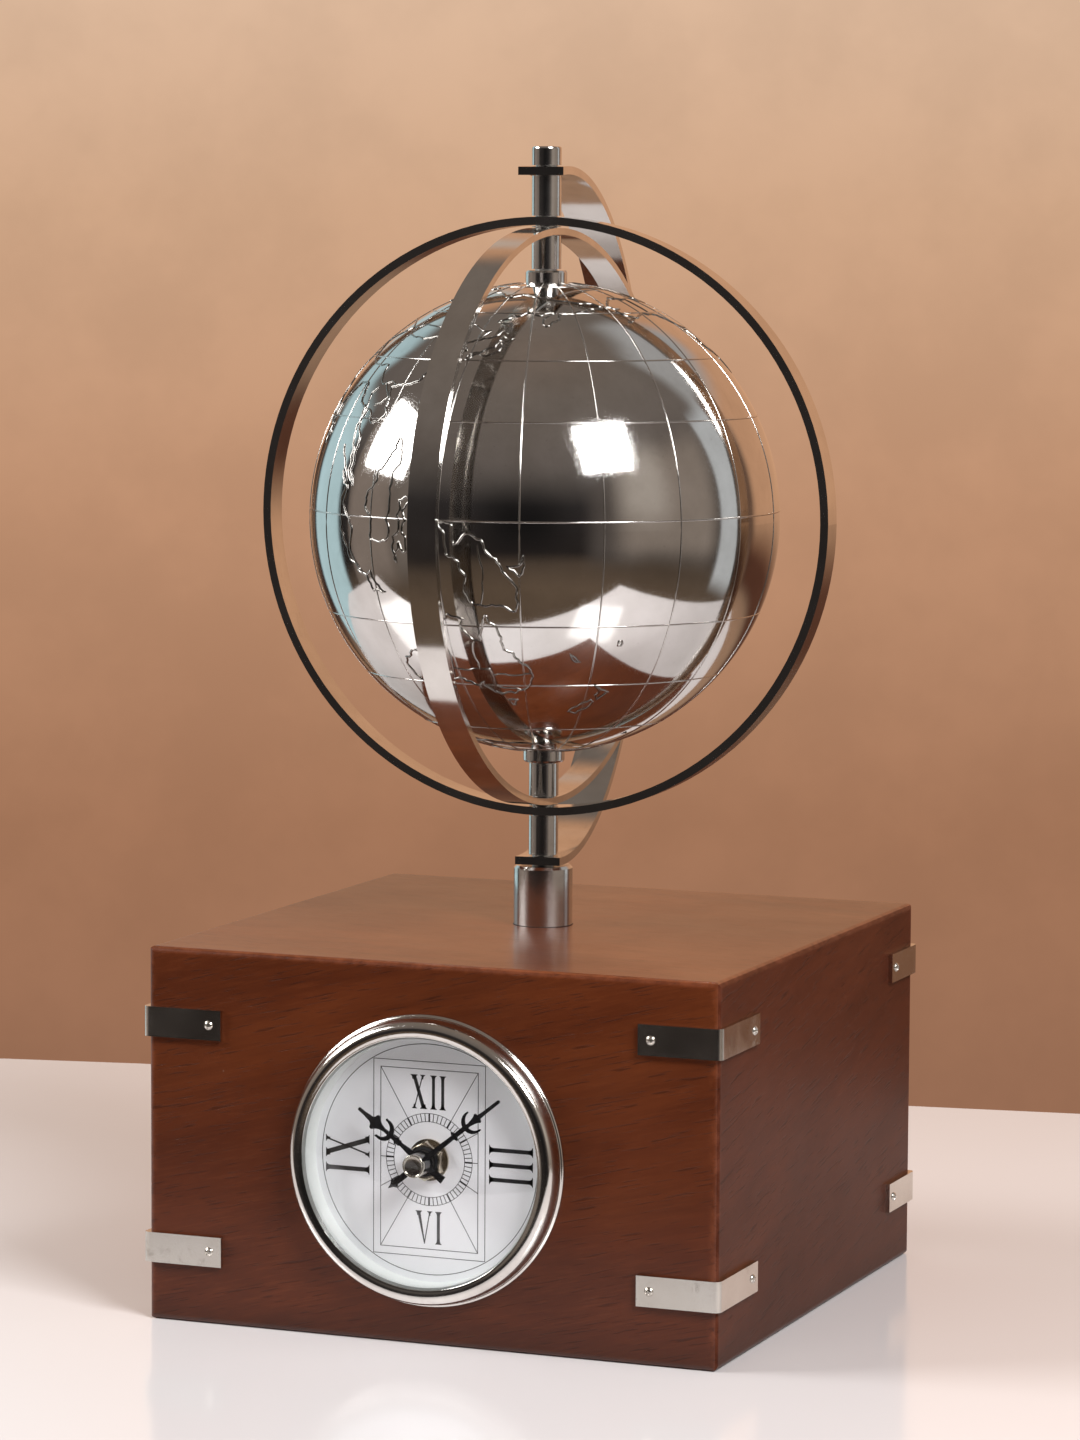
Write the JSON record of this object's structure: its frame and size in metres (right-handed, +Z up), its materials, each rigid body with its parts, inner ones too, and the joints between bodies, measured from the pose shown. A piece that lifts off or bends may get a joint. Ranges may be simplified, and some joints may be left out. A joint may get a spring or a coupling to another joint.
{
  "type": "armillary sphere",
  "caption": "Desk armillary: a hollow metal globe inside nested rings and a half-round meridian band, turning on an upright rod over a wooden box with a round analogue clock.",
  "frame": {"origin": "centre of the box's underside, on the table", "axes": "+Z up along the rod; the clock faces -Y; +X to the right as the clock is read"},
  "size_m": [0.164, 0.1863, 0.3106],
  "materials": {
    "wood_front": "satin lacquer",
    "wood_side": "satin lacquer",
    "wood_top": "satin lacquer",
    "wood_cover": "sealed",
    "pine_block": "raw",
    "strap_nickel": "polished nickel, lightly worn",
    "screw_steel": "bright zinc",
    "tube_chrome": "polished",
    "rod_steel": "plain thread",
    "bezel_chrome": "polished",
    "rehaut_white": "gloss",
    "glass": "clear",
    "dial_white": "satin print",
    "brass": "plain",
    "nut_nickel": "nickel wash",
    "case_black": "moulded",
    "gasket_rubber": "matt",
    "cell": "printed sleeve, plain",
    "hand_black": "gloss black",
    "cap_nickel": "polished",
    "globe_chrome": "polished, engraved",
    "globe_inner": "plain",
    "collar_steel": "turned",
    "ring_nickel": "polished"
  },
  "bodies": {
    "stand": {"top_panel": "wood_top", "front_panel": "wood_front", "back_panel": "wood_front", "left_panel": "wood_side", "right_panel": "wood_side", "corner_blocks": "pine_block", "bottom_cover": "wood_cover", "bottom_cover_screws": "screw_steel", "strap_front_left_upper": "strap_nickel", "strap_front_left_lower": "strap_nickel", "strap_front_right_upper": "strap_nickel", "strap_front_right_lower": "strap_nickel", "strap_back_left_upper": "strap_nickel", "strap_back_left_lower": "strap_nickel", "strap_back_right_upper": "strap_nickel", "strap_back_right_lower": "strap_nickel", "strap_screws": "screw_steel", "ferrule": "tube_chrome", "central_rod": "rod_steel", "rod_washer": "screw_steel", "rod_nut": "screw_steel", "lower_spacer": "tube_chrome", "lower_pivot_washer": "screw_steel", "lower_globe_spacer": "tube_chrome", "upper_globe_spacer": "tube_chrome", "upper_pivot_washer": "screw_steel", "upper_spacer": "tube_chrome", "finial": "tube_chrome", "bezel": "bezel_chrome", "rehaut_ring": "rehaut_white", "lens": "glass", "dial": "dial_white", "dial_washer": "nut_nickel", "dial_nut": "nut_nickel", "movement_case": "case_black", "movement_cover": "case_black", "movement_gasket": "gasket_rubber", "battery": "cell"},
    "hour_hand": {"hour_hand": "hand_black", "hour_pipe": "brass"},
    "minute_hand": {"minute_hand": "hand_black", "minute_arbor": "brass", "hand_cap": "cap_nickel"},
    "set_knob": {"set_knob": "case_black"},
    "globe": {"globe_north": "globe_chrome", "globe_south": "globe_chrome", "globe_joint_ring": "globe_inner", "globe_collar_lower": "collar_steel", "globe_collar_upper": "collar_steel"},
    "outer_ring": {"outer_ring": "ring_nickel"},
    "inner_ring": {"inner_ring": "ring_nickel"},
    "meridian_band": {"meridian_band": "ring_nickel"}
  },
  "joints": [
    {"name": "globe_spin", "type": "hinge", "parent": "stand", "child": "globe", "pos_m": [0, 0, 0.211], "axis": [0, 0, 1], "continuous": true},
    {"name": "outer_ring_swivel", "type": "hinge", "parent": "stand", "child": "outer_ring", "pos_m": [0, 0, 0.211], "axis": [0, 0, 1], "continuous": true},
    {"name": "inner_ring_swivel", "type": "hinge", "parent": "stand", "child": "inner_ring", "pos_m": [0, 0, 0.211], "axis": [0, 0, 1], "continuous": true},
    {"name": "meridian_band_swivel", "type": "hinge", "parent": "stand", "child": "meridian_band", "pos_m": [0, 0, 0.211], "axis": [0, 0, 1], "continuous": true},
    {"name": "minute_hand_turn", "type": "hinge", "parent": "stand", "child": "minute_hand", "pos_m": [0, -0.08, 0.0486], "axis": [0, 1, 0], "continuous": true},
    {"name": "hour_hand_turn", "type": "hinge", "parent": "stand", "child": "hour_hand", "pos_m": [0, -0.08, 0.0486], "axis": [0, 1, 0], "continuous": true},
    {"name": "set_knob_turn", "type": "hinge", "parent": "stand", "child": "set_knob", "pos_m": [0.012, -0.0542, 0.062], "axis": [0, 1, 0], "continuous": true}
  ],
  "couplings": [
    {"joint": "hour_hand_turn", "follows": "minute_hand_turn", "ratio": 0.083333},
    {"joint": "set_knob_turn", "follows": "minute_hand_turn", "ratio": -3}
  ]
}
